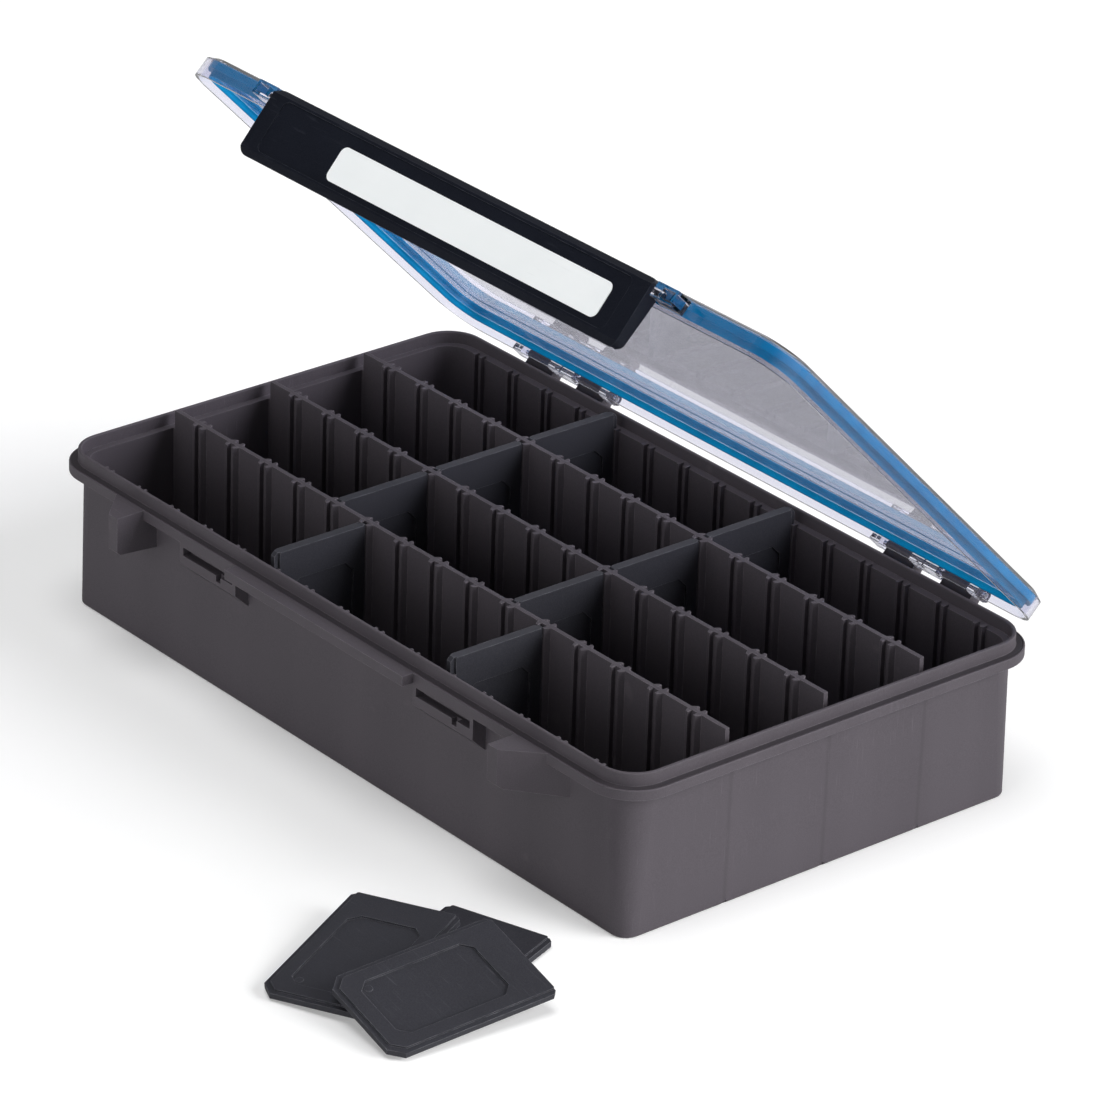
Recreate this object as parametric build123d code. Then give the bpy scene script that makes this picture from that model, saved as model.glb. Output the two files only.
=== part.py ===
from build123d import *
import os

os.makedirs("parts", exist_ok=True)

# A shallow lidded box with lanes, loose dividers and a hinged clear lid.
# X runs along the box, Y from front to back, Z up. The origin is the middle of the tub's
# footprint on the floor. Sizes are millimetres.

# Tub
TUB_LENGTH = 357.2
TUB_WIDTH = 207.2
TUB_CORNER = 18.9
FLANGE_TOP = 64.1
FLANGE_THICKNESS = 4.1
FLANGE_REACH = 3.6
LIP_RISE = 5.1
LIP_WALL = 1.6
LEDGE_AT_ENDS = 3.0
LEDGE_AT_SIDES = 3.4
WALL_AT_FLANGE = 2.3
WALL_DRAFT = 0.84
FLOOR_THICKNESS = 2.2
CAVITY_CORNER = 10.0
BASE_CORNER = 6.8
BASE_EDGE_ROUND = 1.2
RIM_EDGE_ROUND = 0.5
BASE_NOTCH_WIDTH = 2.6
BASE_NOTCH_DEPTH = 0.8
BASE_NOTCH_HEIGHT = 1.6

# Lanes and the paired ribs that hold a divider
LANES = 4
PARTITION_THICKNESS = 1.9
PARTITION_RISE = 8.1
PARTITION_END_GAP = 1.1
STATION_PITCH = 21.7
RIB_THICKNESS = 1.2
RIB_REACH = 2.1
CHANNEL_WIDTH = 2.9
RIB_DROP = 0.3
WALL_RIB_RISE = 1.2
RIB_ROOT = 0.8

# Dividers
DIVIDER_SIDE_GAP = 0.3
DIVIDER_TOP_DROP = 0.2
DIVIDER_LIFT_OFF_FLOOR = 0.2
DIVIDER_THICKNESS = 3.8
TONGUE_SIDE_GAP = 0.3
TONGUE_FOOT = 2.0
TONGUE_TOP_CHAMFER = 1.5
TONGUE_FOOT_CHAMFER = 5.0
BODY_FOOT_CHAMFER = 4.2
PANEL_RECESS = 0.8
PANEL_SIDE_BORDER = 5.4
PANEL_FOOT_BORDER = 6.0
PANEL_TOP_BORDER = 13.5
PANEL_CHAMFER = 4.0
GATE_MARK_RADIUS = 1.6
GATE_MARK_HEIGHT = 0.2
GATE_MARK_INSET = 3.4
FRONT_LANE_STATIONS = (-2, 3)
OTHER_LANE_STATIONS = (-3, 2)

# Ledge, guide blocks and catch housings on the front
MIDDLE_LEDGE_HALF = 55.3
MIDDLE_LEDGE_REACH = 5.2
GUIDE_BLOCK_FROM_LATCH = 2.6
GUIDE_BLOCK_FLAT = 5.6
GUIDE_BLOCK_REACH = 12.7
GUIDE_BLOCK_DROP = 17.7
GUIDE_BLOCK_UNDERSIDE_RISE = 1.6
GUIDE_BLOCK_CHAMFER = 1.4
CATCH_OUTER = 91.0
CATCH_SLOT_DROP = 5.5
CATCH_SLOT_HEIGHT = 3.7
CATCH_SLOT_DEPTH = 4.0
CATCH_FACE_DROP = 13.1
CATCH_FOOT_DROP = 19.1
CATCH_END_WALL = 1.8
CATCH_NOTCH_WIDTH = 3.0
CATCH_NOTCH_HEIGHT = 2.5
CATCH_NOTCH_DEPTH = 2.6
CATCH_NOTCH_FROM_RIGHT = 11.0

# Hinge at the back
HINGE_BEHIND_FLANGE = 5.4
HINGE_RISE = 3.4
HINGE_FROM_END = 68.6
KNUCKLE_RADIUS = 2.4
TUB_KNUCKLE_LENGTH = 17.0
TUB_KNUCKLE_OFFSET = 16.25
LID_END_KNUCKLE_LENGTH = 5.0
KNUCKLE_SIDE_GAP = 0.3
LID_KNUCKLE_SPLIT = 0.8
PIN_RADIUS = 1.0
PIN_END_RECESS = 0.25
PIN_RUNNING_GAP = 0.05

# Lid, drawn closed and then turned open
LID_END_INSET = 1.1
LID_SIDE_INSET = 1.0
LID_CORNER = 17.0
LID_SKIRT_GAP = 0.65
LID_PANEL_THICKNESS = 1.8
LID_TOP_BEVEL = 3.5
LID_TOP_BEVEL_RISE = 1.9
LID_SKIRT_WALL = 1.8
LID_RING_OUTER_INSET = 1.8
LID_RING_WALL = 1.3
LID_RING_ABOVE_LIP = 0.4
LID_PANEL_INSET = 14.0
LID_PANEL_RECESS = 0.4
LID_PANEL_CORNER = 6.0
LID_OPEN_ANGLE = 45.7
SEAL_ABOVE_LIP = 0.3
SEAL_THICKNESS = 3.4
SEAL_FROM_RING = 0.3
SEAL_FROM_SKIRT = 0.3
SEAL_FLANGE_FROM_LIP = 0.6
SEAL_FLANGE_DROP = 2.5

# Latch, drawn closed
LATCH_LENGTH = 225.4
LATCH_TOP_DROP = 2.0
LATCH_HEIGHT = 29.6
LATCH_CORNER = 3.5
LATCH_REACH = 8.7
LATCH_WALL = 2.0
LATCH_TOP_BEVEL = 2.7
LATCH_FOOT_BEVEL = 2.6
LATCH_SLOPE = 2.1
LATCH_FOOT_WALL = 0.9
LATCH_RETURN = 3.0
LATCH_END_WALL = 2.0
LATCH_END_DEPTH = 5.0
LATCH_PIVOT_REACH = 4.0
LATCH_PIVOT_DROP = 4.1
TRUNNION_RADIUS = 1.5
TRUNNION_LENGTH = 3.4
FIELD_HALF = 104.0
FIELD_TOP_INSET = 1.0
FIELD_DEPTH = 0.5
FIELD_CORNER = 3.0
HOOK_INNER_GAP = 4.9
HOOK_OUTER_GAP = 3.2
HOOK_SLOT_GAP = 0.3
HOOK_THICKNESS = 3.0
HOOK_GAP = 0.5
LABEL_LENGTH = 160.0
LABEL_HEIGHT = 14.8
LABEL_CENTRE_X = 17.0
LABEL_DROP = 16.3
LABEL_CORNER = 3.0
LABEL_THICKNESS = 0.3
LUG_LENGTH = 11.7
LUG_SIDE_GAP = 0.6
LUG_REACH = 7.0
LUG_BELOW_PIVOT = 2.3
LUG_ABOVE_PIVOT = 3.8
LUG_WINDOW_LENGTH = 6.0
LUG_WINDOW_INSET = 4.3
LUG_WINDOW_SILL = 1.3
LUG_WINDOW_HEAD = 1.2
LUG_WINDOW_DEPTH = 6.6

# Loose spare dividers on the floor. The middle of each one's underside is given by how far
# it is to the right, how far in front of the tub's flange and how high; then its turn and tilts.
LOWER_SPARE = (149.1, 55.6, 0.0)
LOWER_SPARE_TURN = 19.4
LEANING_SPARE = (131.4, 82.4, 4.5)
LEANING_SPARE_TURN = 22.5
LEANING_SPARE_ROLL = 3.5
LEANING_SPARE_PITCH = 5.3
UPPER_SPARE = (170.7, 76.8, 7.6)
UPPER_SPARE_TURN = -4.0
UPPER_SPARE_ROLL = -12.0
UPPER_SPARE_PITCH = 4.5

# Sizes that follow from the ones above
FLANGE_X = TUB_LENGTH / 2
FLANGE_Y = TUB_WIDTH / 2
LIP_OUTER_X = FLANGE_X - FLANGE_REACH
LIP_OUTER_Y = FLANGE_Y - FLANGE_REACH
LIP_INNER_X = LIP_OUTER_X - LIP_WALL
LIP_INNER_Y = LIP_OUTER_Y - LIP_WALL
CAVITY_X = LIP_INNER_X - LEDGE_AT_ENDS
CAVITY_Y = LIP_INNER_Y - LEDGE_AT_SIDES
FLANGE_LOW = FLANGE_TOP - FLANGE_THICKNESS
LIP_TOP = FLANGE_TOP + LIP_RISE
PARTITION_TOP = FLANGE_TOP + PARTITION_RISE
WALL_RIB_TOP = FLANGE_TOP + WALL_RIB_RISE
BODY_X = CAVITY_X + WALL_AT_FLANGE
BODY_Y = CAVITY_Y + WALL_AT_FLANGE
WALL_MIDDLE_Y = CAVITY_Y + WALL_AT_FLANGE / 3
RIB_OFFSET = (CHANNEL_WIDTH + RIB_THICKNESS) / 2
STATIONS_EACH_SIDE = int((CAVITY_X - CAVITY_CORNER) / STATION_PITCH)
LANE_CLEAR = (2 * CAVITY_Y - (LANES - 1) * PARTITION_THICKNESS) / LANES
LANE_PITCH = LANE_CLEAR + PARTITION_THICKNESS
TONGUE_HALF = LANE_CLEAR / 2 - DIVIDER_SIDE_GAP
TONGUE_THICKNESS = CHANNEL_WIDTH - 2 * TONGUE_SIDE_GAP
BODY_HALF = LANE_CLEAR / 2 - RIB_REACH - DIVIDER_SIDE_GAP
DIVIDER_FOOT = FLOOR_THICKNESS + DIVIDER_LIFT_OFF_FLOOR
DIVIDER_HEIGHT = PARTITION_TOP - DIVIDER_TOP_DROP - DIVIDER_FOOT
CATCH_SLOT_HIGH = FLANGE_TOP - CATCH_SLOT_DROP
CATCH_SLOT_LOW = CATCH_SLOT_HIGH - CATCH_SLOT_HEIGHT
CATCH_FACE_LOW = FLANGE_TOP - CATCH_FACE_DROP
CATCH_FOOT = FLANGE_TOP - CATCH_FOOT_DROP
GUIDE_BLOCK_UNDERSIDE = FLANGE_TOP - GUIDE_BLOCK_DROP
HINGE_Y = FLANGE_Y + HINGE_BEHIND_FLANGE
HINGE_HEIGHT = FLANGE_TOP + HINGE_RISE
HINGE_ZONE = FLANGE_X - HINGE_FROM_END
LID_X = FLANGE_X - LID_END_INSET
LID_Y = FLANGE_Y - LID_SIDE_INSET
LID_SKIRT_BOTTOM = FLANGE_TOP + LID_SKIRT_GAP
LID_RING_BOTTOM = LIP_TOP + LID_RING_ABOVE_LIP
SEAL_BOTTOM = LIP_TOP + SEAL_ABOVE_LIP
LID_UNDERSIDE = SEAL_BOTTOM + SEAL_THICKNESS
LID_TOP = LID_UNDERSIDE + LID_PANEL_THICKNESS
LID_SIDE_TOP = LID_TOP - LID_TOP_BEVEL_RISE
RING_OUTER_X = LIP_INNER_X - LID_RING_OUTER_INSET
RING_OUTER_Y = LIP_INNER_Y - LID_RING_OUTER_INSET
RING_CORNER = TUB_CORNER - FLANGE_REACH - LIP_WALL - LID_RING_OUTER_INSET
LATCH_TOP = LID_TOP - LATCH_TOP_DROP
LATCH_FOOT = LATCH_TOP - LATCH_HEIGHT
LATCH_END = LATCH_LENGTH / 2
LATCH_FRONT = FLANGE_Y + LATCH_REACH
LATCH_PIVOT_Y = FLANGE_Y + LATCH_PIVOT_REACH
LATCH_PIVOT_Z = LATCH_TOP - LATCH_PIVOT_DROP
LABEL_CENTRE_Z = LATCH_TOP - LABEL_DROP
GUIDE_BLOCK_INNER = LATCH_END + GUIDE_BLOCK_FROM_LATCH
HOOK_INNER = MIDDLE_LEDGE_HALF + CATCH_END_WALL + HOOK_INNER_GAP
HOOK_OUTER = CATCH_OUTER - CATCH_END_WALL - HOOK_OUTER_GAP
HOOK_LOW = CATCH_SLOT_LOW + HOOK_SLOT_GAP
HOOK_HIGH = HOOK_LOW + HOOK_THICKNESS
LUG_FRONT = FLANGE_Y + LUG_REACH
LUG_BOTTOM = LATCH_PIVOT_Z - LUG_BELOW_PIVOT
LUG_TOP = LATCH_PIVOT_Z + LUG_ABOVE_PIVOT
LUG_WINDOW_LOW = LUG_BOTTOM + LUG_WINDOW_SILL
LUG_WINDOW_HIGH = LUG_TOP - LUG_WINDOW_HEAD
LUG_WINDOW_BACK = LUG_FRONT - LUG_WINDOW_DEPTH


def slab(half_x, half_y, corner, low, high):
    outline = Pos(0, 0, low) * RectangleRounded(2 * half_x, 2 * half_y, corner)
    return extrude(outline, amount=high - low)


def tapered(low_half, low_corner, low, high_half, high_corner, high):
    bottom = Pos(0, 0, low) * RectangleRounded(2 * low_half[0], 2 * low_half[1], low_corner)
    top = Pos(0, 0, high) * RectangleRounded(2 * high_half[0], 2 * high_half[1], high_corner)
    return loft([bottom, top], ruled=True)


def block(low, high):
    size = [b - a for a, b in zip(low, high)]
    middle = [(a + b) / 2 for a, b in zip(low, high)]
    return Pos(*middle) * Box(*size)


def along_x(points, low, high):
    """A solid whose outline is given in Y and Z and which runs along X."""
    plane = Plane(origin=(low, 0, 0), x_dir=(0, 1, 0), z_dir=(1, 0, 0))
    return extrude(plane * make_face(Polyline(*points, close=True)), amount=high - low)


def rod(radius, y, z, low, high):
    return Pos((low + high) / 2, y, z) * Rot(0, 90, 0) * Cylinder(radius, high - low)


def both_sides(shape):
    return [shape, mirror(shape, about=Plane.YZ)]


def rib_positions():
    stations = range(-STATIONS_EACH_SIDE, STATIONS_EACH_SIDE + 1)
    return [i * STATION_PITCH + side * RIB_OFFSET for i in stations for side in (-1, 1)]


def tub_shell():
    base = (BODY_X - WALL_DRAFT, BODY_Y - WALL_DRAFT)
    lip_corner = TUB_CORNER - FLANGE_REACH
    body = tapered(base, BASE_CORNER, 0, (BODY_X, BODY_Y), CAVITY_CORNER + WALL_AT_FLANGE, FLANGE_LOW)
    body = fillet(body.edges().group_by(Axis.Z)[0], BASE_EDGE_ROUND)
    flange = slab(FLANGE_X, FLANGE_Y, TUB_CORNER, FLANGE_LOW, FLANGE_TOP)
    flange = fillet(flange.edges().group_by(Axis.Z)[-1], RIM_EDGE_ROUND)
    lip = slab(LIP_OUTER_X, LIP_OUTER_Y, lip_corner, FLANGE_LOW, LIP_TOP)
    lip -= slab(LIP_INNER_X, LIP_INNER_Y, lip_corner - LIP_WALL, FLANGE_TOP, LIP_TOP)
    lip = fillet(lip.edges().group_by(Axis.Z)[-1], RIM_EDGE_ROUND)
    shell = body + flange + lip
    shell -= slab(CAVITY_X, CAVITY_Y, CAVITY_CORNER, FLOOR_THICKNESS, FLANGE_TOP)
    return shell


def base_notches():
    cuts = []
    for lane_line in range(1, LANES):
        y = (lane_line - LANES / 2) * LANE_PITCH
        low = (BODY_X - WALL_DRAFT - BASE_NOTCH_DEPTH, y - BASE_NOTCH_WIDTH / 2, 0)
        high = (BODY_X, y + BASE_NOTCH_WIDTH / 2, BASE_NOTCH_HEIGHT)
        cuts += both_sides(block(low, high))
    return cuts


def wall_ribs():
    ribs = []
    for x in rib_positions():
        low = (x - RIB_THICKNESS / 2, CAVITY_Y - RIB_REACH, FLOOR_THICKNESS)
        high = (x + RIB_THICKNESS / 2, CAVITY_Y + RIB_ROOT, WALL_RIB_TOP)
        rib = block(low, high)
        ribs += [rib, mirror(rib, about=Plane.XZ)]
    return ribs


def middle_ledge():
    low = (-MIDDLE_LEDGE_HALF, -FLANGE_Y - MIDDLE_LEDGE_REACH, FLANGE_LOW)
    high = (MIDDLE_LEDGE_HALF, -LIP_OUTER_Y, FLANGE_TOP)
    return block(low, high)


def guide_block():
    root = -WALL_MIDDLE_Y
    front = -FLANGE_Y - GUIDE_BLOCK_REACH
    flat_end = GUIDE_BLOCK_INNER + GUIDE_BLOCK_FLAT
    outline = [
        (GUIDE_BLOCK_INNER, root),
        (GUIDE_BLOCK_INNER, front),
        (flat_end, front),
        (flat_end + root - front, root),
    ]
    plan = Pos(0, 0, GUIDE_BLOCK_UNDERSIDE) * make_face(Polyline(*outline, close=True))
    solid = extrude(plan, amount=FLANGE_TOP - GUIDE_BLOCK_UNDERSIDE)
    chamfer_low = GUIDE_BLOCK_UNDERSIDE + GUIDE_BLOCK_UNDERSIDE_RISE
    side = [
        (root, GUIDE_BLOCK_UNDERSIDE),
        (front + GUIDE_BLOCK_CHAMFER, chamfer_low),
        (front, chamfer_low + GUIDE_BLOCK_CHAMFER),
        (front, FLANGE_TOP),
        (root, FLANGE_TOP),
    ]
    return solid & along_x(side, GUIDE_BLOCK_INNER, flat_end + root - front)


def catch_housing(inner, outer):
    root = -WALL_MIDDLE_Y
    side = [
        (root, FLANGE_LOW),
        (-FLANGE_Y, FLANGE_LOW),
        (-FLANGE_Y, CATCH_FACE_LOW),
        (-BODY_Y, CATCH_FOOT),
        (root, CATCH_FOOT),
    ]
    solid = along_x(side, inner, outer)
    slot_back = -FLANGE_Y + CATCH_SLOT_DEPTH
    slot_low = (inner + CATCH_END_WALL, -FLANGE_Y, CATCH_SLOT_LOW)
    solid -= block(slot_low, (outer - CATCH_END_WALL, slot_back, CATCH_SLOT_HIGH))
    notch_x = outer - CATCH_NOTCH_FROM_RIGHT
    notch_low = (notch_x - CATCH_NOTCH_WIDTH / 2, -FLANGE_Y, CATCH_SLOT_LOW - CATCH_NOTCH_HEIGHT)
    notch_high = (notch_x + CATCH_NOTCH_WIDTH / 2, CATCH_NOTCH_DEPTH - FLANGE_Y, CATCH_SLOT_LOW)
    return solid - block(notch_low, notch_high)


def tub_knuckles():
    shapes = []
    arm = [
        (LIP_OUTER_Y, FLANGE_LOW),
        (HINGE_Y - KNUCKLE_RADIUS / 2, FLANGE_LOW),
        (HINGE_Y + KNUCKLE_RADIUS, HINGE_HEIGHT - KNUCKLE_RADIUS),
        (HINGE_Y + KNUCKLE_RADIUS, HINGE_HEIGHT),
        (HINGE_Y - KNUCKLE_RADIUS, HINGE_HEIGHT),
        (FLANGE_Y, FLANGE_TOP),
        (LIP_OUTER_Y, FLANGE_TOP),
    ]
    for offset in (-TUB_KNUCKLE_OFFSET, TUB_KNUCKLE_OFFSET):
        low = HINGE_ZONE + offset - TUB_KNUCKLE_LENGTH / 2
        high = low + TUB_KNUCKLE_LENGTH
        knuckle = along_x(arm, low, high) + rod(KNUCKLE_RADIUS, HINGE_Y, HINGE_HEIGHT, low, high)
        shapes += both_sides(knuckle)
    return shapes


def pin_span():
    """The hinge zone from one end knuckle's outer face to the other's."""
    reach = TUB_KNUCKLE_OFFSET + TUB_KNUCKLE_LENGTH / 2 + KNUCKLE_SIDE_GAP + LID_END_KNUCKLE_LENGTH
    return HINGE_ZONE - reach, HINGE_ZONE + reach


def tub():
    shape = tub_shell() + wall_ribs() + middle_ledge()
    shape += both_sides(guide_block())
    shape += catch_housing(MIDDLE_LEDGE_HALF, CATCH_OUTER)
    shape += catch_housing(-CATCH_OUTER, -MIDDLE_LEDGE_HALF)
    shape += tub_knuckles()
    shape -= base_notches()
    low, high = pin_span()
    return shape - both_sides(rod(PIN_RADIUS, HINGE_Y, HINGE_HEIGHT, low, high))


def partition(lane_line):
    y = (lane_line - LANES / 2) * LANE_PITCH
    half = PARTITION_THICKNESS / 2
    end = CAVITY_X - PARTITION_END_GAP
    plate = block((-end, y - half, FLOOR_THICKNESS), (end, y + half, PARTITION_TOP))
    plate += block((-CAVITY_X, y - half, FLOOR_THICKNESS), (CAVITY_X, y + half, FLANGE_TOP))
    ribs = []
    for x in rib_positions():
        low = (x - RIB_THICKNESS / 2, y - half - RIB_REACH, FLOOR_THICKNESS)
        high = (x + RIB_THICKNESS / 2, y + half + RIB_REACH, PARTITION_TOP - RIB_DROP)
        ribs.append(block(low, high))
    return plate + ribs


def chamfered_plate(half, low, high, thickness, foot_chamfer, top_chamfer):
    outline = [
        (-half, low + foot_chamfer),
        (-half + foot_chamfer, low),
        (half - foot_chamfer, low),
        (half, low + foot_chamfer),
        (half, high - top_chamfer),
        (half - top_chamfer, high),
        (-half + top_chamfer, high),
        (-half, high - top_chamfer),
    ]
    face = Pos(0, 0, -thickness / 2) * make_face(Polyline(*outline, close=True))
    return extrude(face, amount=thickness)


def divider():
    """Width along X, height along Y from the foot, thickness along Z about the middle."""
    top = DIVIDER_HEIGHT
    shape = chamfered_plate(TONGUE_HALF, 0, top, TONGUE_THICKNESS, TONGUE_FOOT_CHAMFER, TONGUE_TOP_CHAMFER)
    rim_top = TONGUE_TOP_CHAMFER / 3
    shape += chamfered_plate(BODY_HALF, TONGUE_FOOT, top, DIVIDER_THICKNESS, BODY_FOOT_CHAMFER, rim_top)
    panel_half = BODY_HALF - PANEL_SIDE_BORDER
    panel = chamfered_plate(
        panel_half,
        TONGUE_FOOT + PANEL_FOOT_BORDER,
        top - PANEL_TOP_BORDER,
        PANEL_RECESS,
        PANEL_CHAMFER,
        PANEL_CHAMFER,
    )
    face = DIVIDER_THICKNESS / 2
    for side in (-1, 1):
        shape -= Pos(0, 0, side * (face - PANEL_RECESS / 2)) * panel
    mark_x = -panel_half + GATE_MARK_INSET
    mark_y = TONGUE_FOOT + PANEL_FOOT_BORDER + GATE_MARK_INSET
    mark_z = face - PANEL_RECESS + GATE_MARK_HEIGHT / 2
    return shape + Pos(mark_x, mark_y, mark_z) * Cylinder(GATE_MARK_RADIUS, GATE_MARK_HEIGHT)


def lane_divider(lane, station):
    y = (lane - (LANES + 1) / 2) * LANE_PITCH
    origin = (station * STATION_PITCH, y, DIVIDER_FOOT)
    place = Plane(origin=origin, x_dir=(0, 1, 0), z_dir=(1, 0, 0))
    return place.location * divider()


def spare_divider(middle, turn, roll, pitch):
    """Lays a divider down: roll lifts its right side, pitch lifts its top end."""
    right, forward, height = middle
    flat = Pos(0, -DIVIDER_HEIGHT / 2, DIVIDER_THICKNESS / 2) * divider()
    tilted = flat.rotate(Axis.X, pitch).rotate(Axis.Y, -roll)
    return Pos(right, -FLANGE_Y - forward, height) * tilted.rotate(Axis.Z, turn)


def opened(shape):
    """Turns a shape drawn on the closed lid to the lid's open angle."""
    return shape.rotate(Axis((0, HINGE_Y, HINGE_HEIGHT), (1, 0, 0)), -LID_OPEN_ANGLE)


def lid_shell():
    top_half = (LID_X - LID_TOP_BEVEL, LID_Y - LID_TOP_BEVEL)
    shell = slab(LID_X, LID_Y, LID_CORNER, LID_SKIRT_BOTTOM, LID_SIDE_TOP)
    shell += tapered(
        (LID_X, LID_Y), LID_CORNER, LID_SIDE_TOP, top_half, LID_CORNER - LID_TOP_BEVEL, LID_TOP
    )
    inner_corner = LID_CORNER - LID_SKIRT_WALL
    inner = (LID_X - LID_SKIRT_WALL, LID_Y - LID_SKIRT_WALL)
    shell -= slab(*inner, inner_corner, LID_SKIRT_BOTTOM, LID_UNDERSIDE)
    ring = slab(RING_OUTER_X, RING_OUTER_Y, RING_CORNER, LID_RING_BOTTOM, LID_UNDERSIDE)
    ring -= slab(
        RING_OUTER_X - LID_RING_WALL,
        RING_OUTER_Y - LID_RING_WALL,
        RING_CORNER - LID_RING_WALL,
        LID_RING_BOTTOM,
        LID_UNDERSIDE,
    )
    shell += ring
    panel_half = (LID_X - LID_PANEL_INSET, LID_Y - LID_PANEL_INSET)
    return shell - slab(*panel_half, LID_PANEL_CORNER, LID_TOP - LID_PANEL_RECESS, LID_TOP)


def lid_knuckle(low, high):
    bottom = LID_SKIRT_BOTTOM
    top = HINGE_HEIGHT + KNUCKLE_RADIUS
    root = LID_Y - LID_SKIRT_WALL / 2
    arm = [(root, bottom), (HINGE_Y, bottom), (HINGE_Y, top), (root, top)]
    return along_x(arm, low, high) + rod(KNUCKLE_RADIUS, HINGE_Y, HINGE_HEIGHT, low, high)


def lid_knuckles():
    low, high = pin_span()
    inner_half = TUB_KNUCKLE_OFFSET - TUB_KNUCKLE_LENGTH / 2 - KNUCKLE_SIDE_GAP
    half_split = LID_KNUCKLE_SPLIT / 2
    spans = [
        (low, low + LID_END_KNUCKLE_LENGTH),
        (HINGE_ZONE - inner_half, HINGE_ZONE - half_split),
        (HINGE_ZONE + half_split, HINGE_ZONE + inner_half),
        (high - LID_END_KNUCKLE_LENGTH, high),
    ]
    shapes = []
    for start, end in spans:
        shapes += both_sides(lid_knuckle(start, end))
    return shapes


def lid_lug():
    inner = LATCH_END + LUG_SIDE_GAP
    outer = inner + LUG_LENGTH
    root = -LID_Y + LID_SKIRT_WALL / 2
    lug = block((inner, -LUG_FRONT, LUG_BOTTOM), (outer, root, LUG_TOP))
    window_low = (inner + LUG_WINDOW_INSET, -LUG_FRONT, LUG_WINDOW_LOW)
    window_high = (inner + LUG_WINDOW_INSET + LUG_WINDOW_LENGTH, -LUG_WINDOW_BACK, LUG_WINDOW_HIGH)
    lug -= block(window_low, window_high)
    bore_end = LATCH_END + TRUNNION_LENGTH + KNUCKLE_SIDE_GAP
    bore_radius = TRUNNION_RADIUS + PIN_RUNNING_GAP
    return lug - rod(bore_radius, -LATCH_PIVOT_Y, LATCH_PIVOT_Z, inner, bore_end)


def lid():
    shape = lid_shell() + lid_knuckles() + both_sides(lid_lug())
    low, high = pin_span()
    bore = rod(PIN_RADIUS + PIN_RUNNING_GAP, HINGE_Y, HINGE_HEIGHT, low, high)
    return opened(shape - both_sides(bore))


def lid_seal():
    """A ring over the tub's lip with a thin flange hanging just inside it."""
    outer_gap = LID_SKIRT_WALL + SEAL_FROM_SKIRT
    outer_corner = LID_CORNER - outer_gap
    seal = slab(LID_X - outer_gap, LID_Y - outer_gap, outer_corner, SEAL_BOTTOM, LID_UNDERSIDE)
    inner = (RING_OUTER_X + SEAL_FROM_RING, RING_OUTER_Y + SEAL_FROM_RING)
    flange_low = SEAL_BOTTOM - SEAL_FLANGE_DROP
    flange = (LIP_INNER_X - SEAL_FLANGE_FROM_LIP, LIP_INNER_Y - SEAL_FLANGE_FROM_LIP)
    flange_corner = RING_CORNER + LID_RING_OUTER_INSET - SEAL_FLANGE_FROM_LIP
    seal += slab(*flange, flange_corner, flange_low, SEAL_BOTTOM)
    return opened(seal - slab(*inner, RING_CORNER + SEAL_FROM_RING, flange_low, LID_UNDERSIDE))


def latch_outer_profile():
    face_foot = LATCH_FOOT + LATCH_FOOT_BEVEL
    return [
        (-LATCH_FRONT + LATCH_TOP_BEVEL, LATCH_TOP),
        (-LATCH_FRONT, LATCH_TOP - LATCH_TOP_BEVEL),
        (-LATCH_FRONT + LATCH_SLOPE, face_foot),
        (-LATCH_FRONT + LATCH_SLOPE + LATCH_FOOT_BEVEL / 2, LATCH_FOOT),
    ]


def latch_plate():
    outer = latch_outer_profile()
    back = -LATCH_FRONT + LATCH_TOP_BEVEL + LATCH_RETURN
    roof = LATCH_TOP - LATCH_WALL
    bevel_inner = LATCH_TOP_BEVEL - LATCH_WALL / 3
    inner = [
        (outer[3][0] + LATCH_FOOT_WALL, LATCH_FOOT),
        (outer[2][0] + LATCH_WALL, outer[2][1]),
        (-LATCH_FRONT + LATCH_WALL, roof - bevel_inner),
        (-LATCH_FRONT + LATCH_WALL + bevel_inner, roof),
        (back, roof),
        (back, LATCH_TOP),
    ]
    return along_x(outer + inner, -LATCH_END, LATCH_END)


def latch_end_wall():
    outer = latch_outer_profile()
    inner = [
        (outer[3][0] + LATCH_END_DEPTH / 2, LATCH_FOOT),
        (outer[2][0] + LATCH_END_DEPTH, outer[2][1]),
        (-LATCH_PIVOT_Y + LATCH_END_DEPTH / 2, LATCH_PIVOT_Z),
        (-LATCH_PIVOT_Y + LATCH_END_DEPTH / 3, LATCH_TOP),
    ]
    wall = along_x(outer + inner, LATCH_END - LATCH_END_WALL, LATCH_END)
    tip = LATCH_END + TRUNNION_LENGTH
    return wall, rod(TRUNNION_RADIUS, -LATCH_PIVOT_Y, LATCH_PIVOT_Z, LATCH_END - LATCH_END_WALL, tip)


def latch_face():
    """A plane on the latch's sloping front: X along the latch, Y up the slope, Z outward."""
    outer = latch_outer_profile()
    rise = outer[1][1] - outer[2][1]
    share = (LABEL_CENTRE_Z - outer[2][1]) / rise
    y = outer[2][0] + share * (outer[1][0] - outer[2][0])
    normal = Vector(0, -rise, -LATCH_SLOPE).normalized()
    return Plane(origin=(0, y, LABEL_CENTRE_Z), x_dir=(1, 0, 0), z_dir=normal)


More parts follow.
